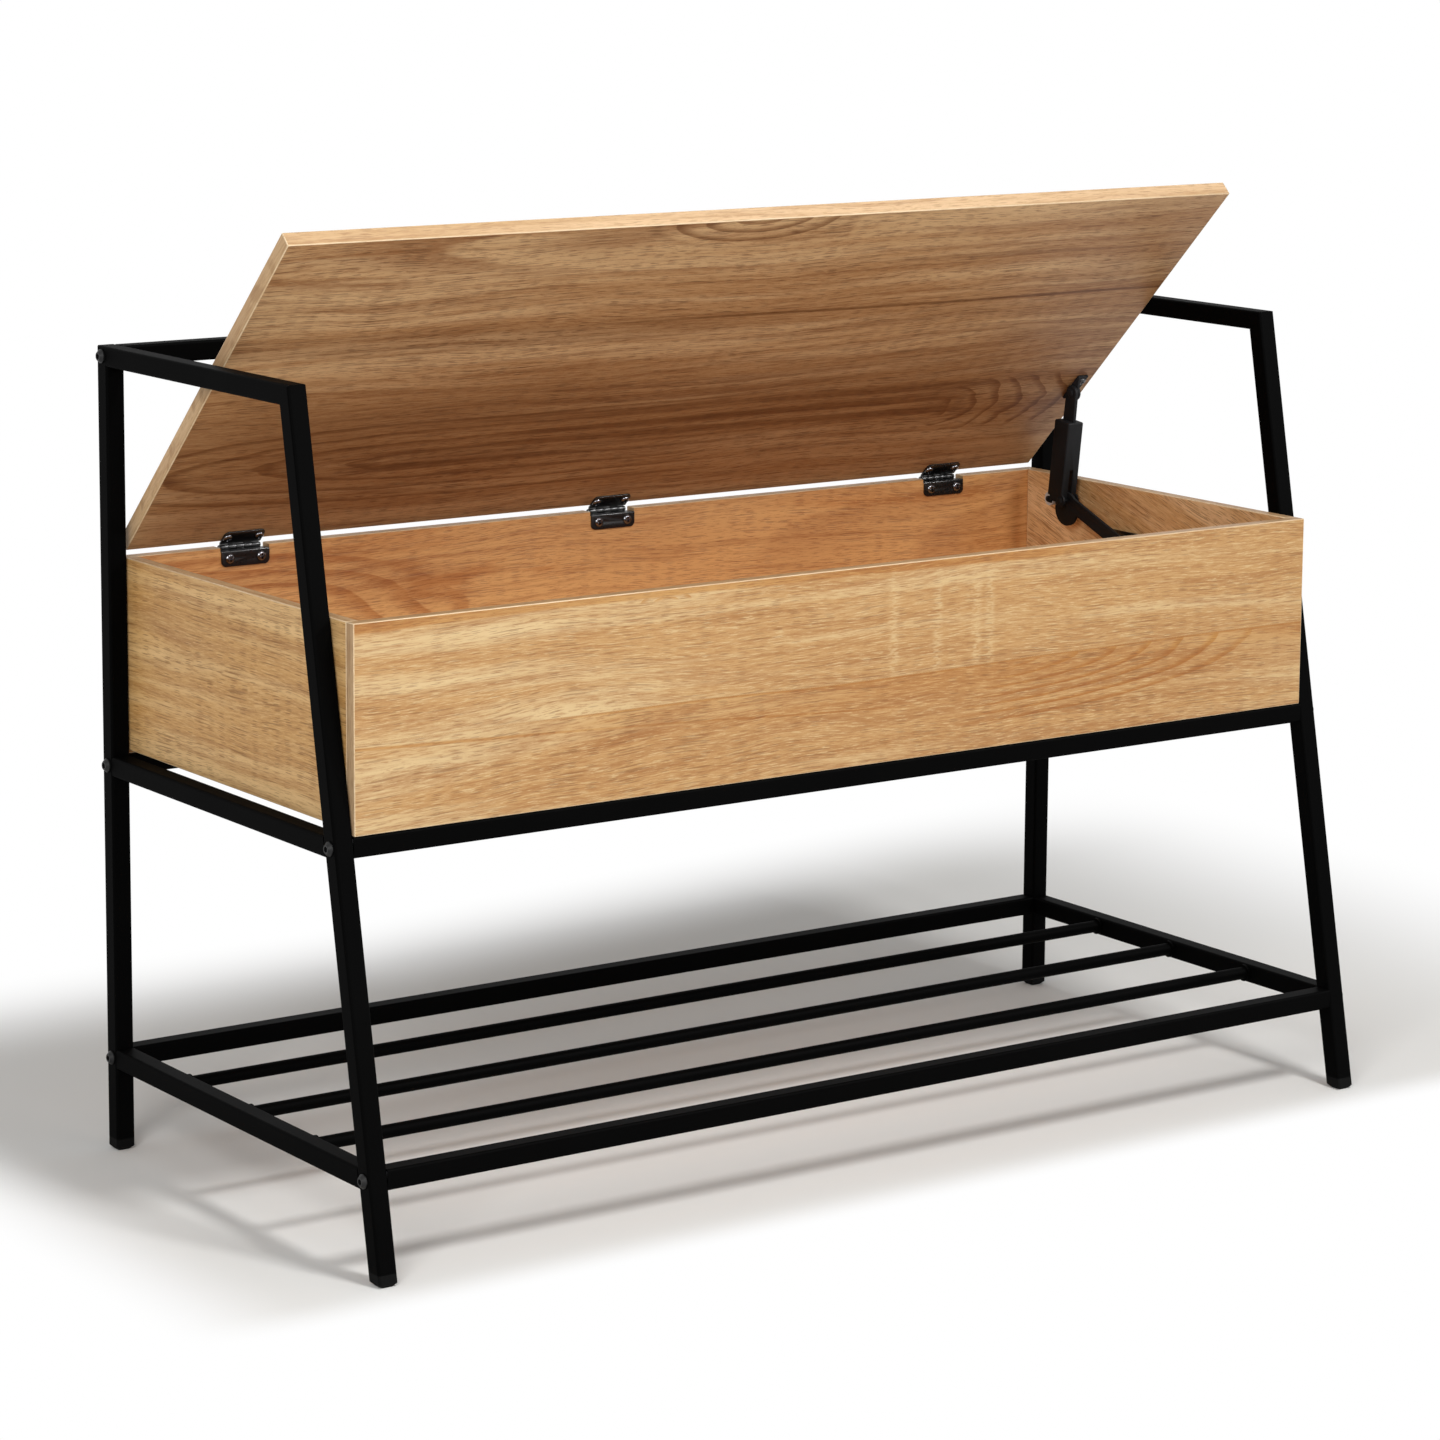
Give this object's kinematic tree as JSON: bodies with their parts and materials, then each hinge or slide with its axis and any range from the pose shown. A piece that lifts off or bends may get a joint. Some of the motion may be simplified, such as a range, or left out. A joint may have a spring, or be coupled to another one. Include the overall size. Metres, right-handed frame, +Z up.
{
  "type": "shoe storage bench",
  "caption": "Entryway bench: square-tube frames with leaning front legs, a low rod shelf for shoes and a wooden box whose hinged seat lid stands open on a folding stay.",
  "frame": {"origin": "on the floor, under the middle of the whole bench with its lid open", "axes": "+X to the right of somebody who faces the bench, +Y to its back, +Z up"},
  "size_m": [0.9064, 0.4043, 0.7101],
  "materials": {
    "frame_steel": "satin black powder coat",
    "foot_plastic": "matte black",
    "bolt_steel": "black oxide, satin",
    "plug_steel": "plain zinc",
    "box_oak": "satin light oak",
    "lid_oak": "satin oak",
    "dowel_wood": "bare beech",
    "hinge_steel": "glossy black",
    "screw_steel": "polished",
    "stay_steel": "matte black",
    "roller_plastic": "light grey"
  },
  "bodies": {
    "bench": {"left_rear_leg": "frame_steel", "left_front_leg": "frame_steel", "left_top_rail": "frame_steel", "left_middle_rail": "frame_steel", "left_lower_rail": "frame_steel", "left_rear_foot": "foot_plastic", "left_front_foot": "foot_plastic", "right_rear_leg": "frame_steel", "right_front_leg": "frame_steel", "right_top_rail": "frame_steel", "right_middle_rail": "frame_steel", "right_lower_rail": "frame_steel", "right_rear_foot": "foot_plastic", "right_front_foot": "foot_plastic", "rear_top_rail": "frame_steel", "rear_middle_rail": "frame_steel", "rear_lower_rail": "frame_steel", "front_middle_rail": "frame_steel", "front_lower_rail": "frame_steel", "front_shelf_rod": "frame_steel", "middle_shelf_rod": "frame_steel", "rear_shelf_rod": "frame_steel", "rod_sockets": "frame_steel", "leg_bolts": "bolt_steel", "rail_plugs": "plug_steel", "box_front_board": "box_oak", "box_rear_board": "box_oak", "box_left_board": "box_oak", "box_right_board": "box_oak", "box_bottom_board": "box_oak", "board_dowels": "dowel_wood", "box_screws": "screw_steel", "hinge_box_leaf_left": "hinge_steel", "hinge_pin_left": "hinge_steel", "hinge_box_leaf_middle": "hinge_steel", "hinge_pin_middle": "hinge_steel", "hinge_box_leaf_right": "hinge_steel", "hinge_pin_right": "hinge_steel", "hinge_box_screws": "screw_steel", "stay_base_bracket": "stay_steel", "stay_base_rivet": "stay_steel", "stay_base_screws": "screw_steel"},
    "lid": {"lid_board": "lid_oak", "hinge_lid_leaf_left": "hinge_steel", "hinge_lid_leaf_middle": "hinge_steel", "hinge_lid_leaf_right": "hinge_steel", "hinge_lid_screws": "screw_steel", "stay_lid_bracket": "stay_steel", "stay_lid_rivet": "stay_steel", "stay_lid_screws": "screw_steel"},
    "stay_link": {"stay_housing": "stay_steel", "stay_upper_arm": "stay_steel", "stay_elbow_rivet": "stay_steel", "stay_roller_pin": "stay_steel"},
    "stay_arm": {"stay_lower_arm": "stay_steel", "stay_arm_rivet": "stay_steel"},
    "stay_roller": {"stay_roller": "roller_plastic"}
  },
  "joints": [
    {"name": "lid_hinge", "type": "hinge", "parent": "bench", "child": "lid", "pos_m": [0, 0.1965, 0.4505], "axis": [-1, 0, 0], "range_deg": [-45, 0]},
    {"name": "stay_link_pivot", "type": "hinge", "parent": "lid", "child": "stay_link", "pos_m": [0.41, 0.11399, 0.5255], "axis": [-1, 0, 0], "range_deg": [0, 36]},
    {"name": "stay_elbow", "type": "hinge", "parent": "stay_link", "child": "stay_arm", "pos_m": [0.41, 0.118, 0.435], "axis": [-1, 0, 0], "range_deg": [0, 74]},
    {"name": "stay_roller_spin", "type": "hinge", "parent": "stay_link", "child": "stay_roller", "pos_m": [0.41, 0.134, 0.435], "axis": [1, 0, 0], "continuous": true}
  ],
  "couplings": [
    {"joint": "stay_link_pivot", "follows": "lid_hinge", "ratio": -0.78572},
    {"joint": "stay_elbow", "follows": "lid_hinge", "ratio": -1.6199}
  ]
}
